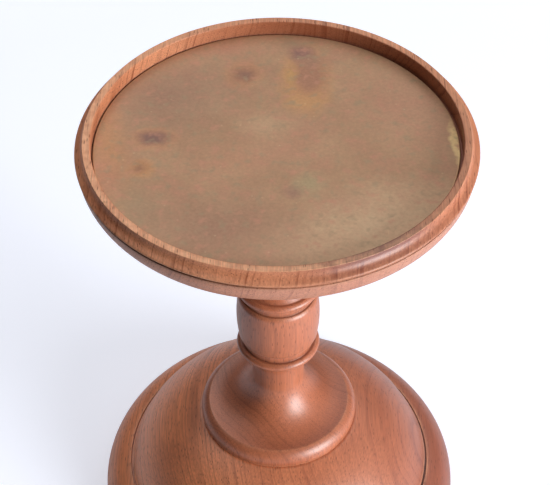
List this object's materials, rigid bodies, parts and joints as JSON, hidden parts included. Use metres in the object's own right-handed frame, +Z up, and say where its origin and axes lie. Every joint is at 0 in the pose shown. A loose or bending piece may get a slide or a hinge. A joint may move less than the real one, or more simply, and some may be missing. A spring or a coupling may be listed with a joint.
{
  "type": "candle stand",
  "caption": "Turned wooden pedestal stand whose moulded round dish holds a loose brass plate for a pillar candle, on a bulbous stem and a stepped, domed base.",
  "frame": {"origin": "centre of the base's underside, on the table", "axes": "+Z up along the turned axis, +X to the right and +Y away from the viewer in the picture"},
  "size_m": [0.128, 0.128, 0.168],
  "materials": {
    "wood": "waxed, satin",
    "brass": "tarnished, satin",
    "steel": "plain, dulled"
  },
  "bodies": {
    "stand": {"base": "wood", "stem": "wood", "dish": "wood", "base_screw": "steel", "dish_screw": "steel"},
    "plate": {"brass_plate": "brass"}
  },
  "joints": [
    {"name": "plate_lift", "type": "slide", "parent": "stand", "child": "plate", "axis": [0, 0, 1], "range_m": [0, 0.03]}
  ]
}
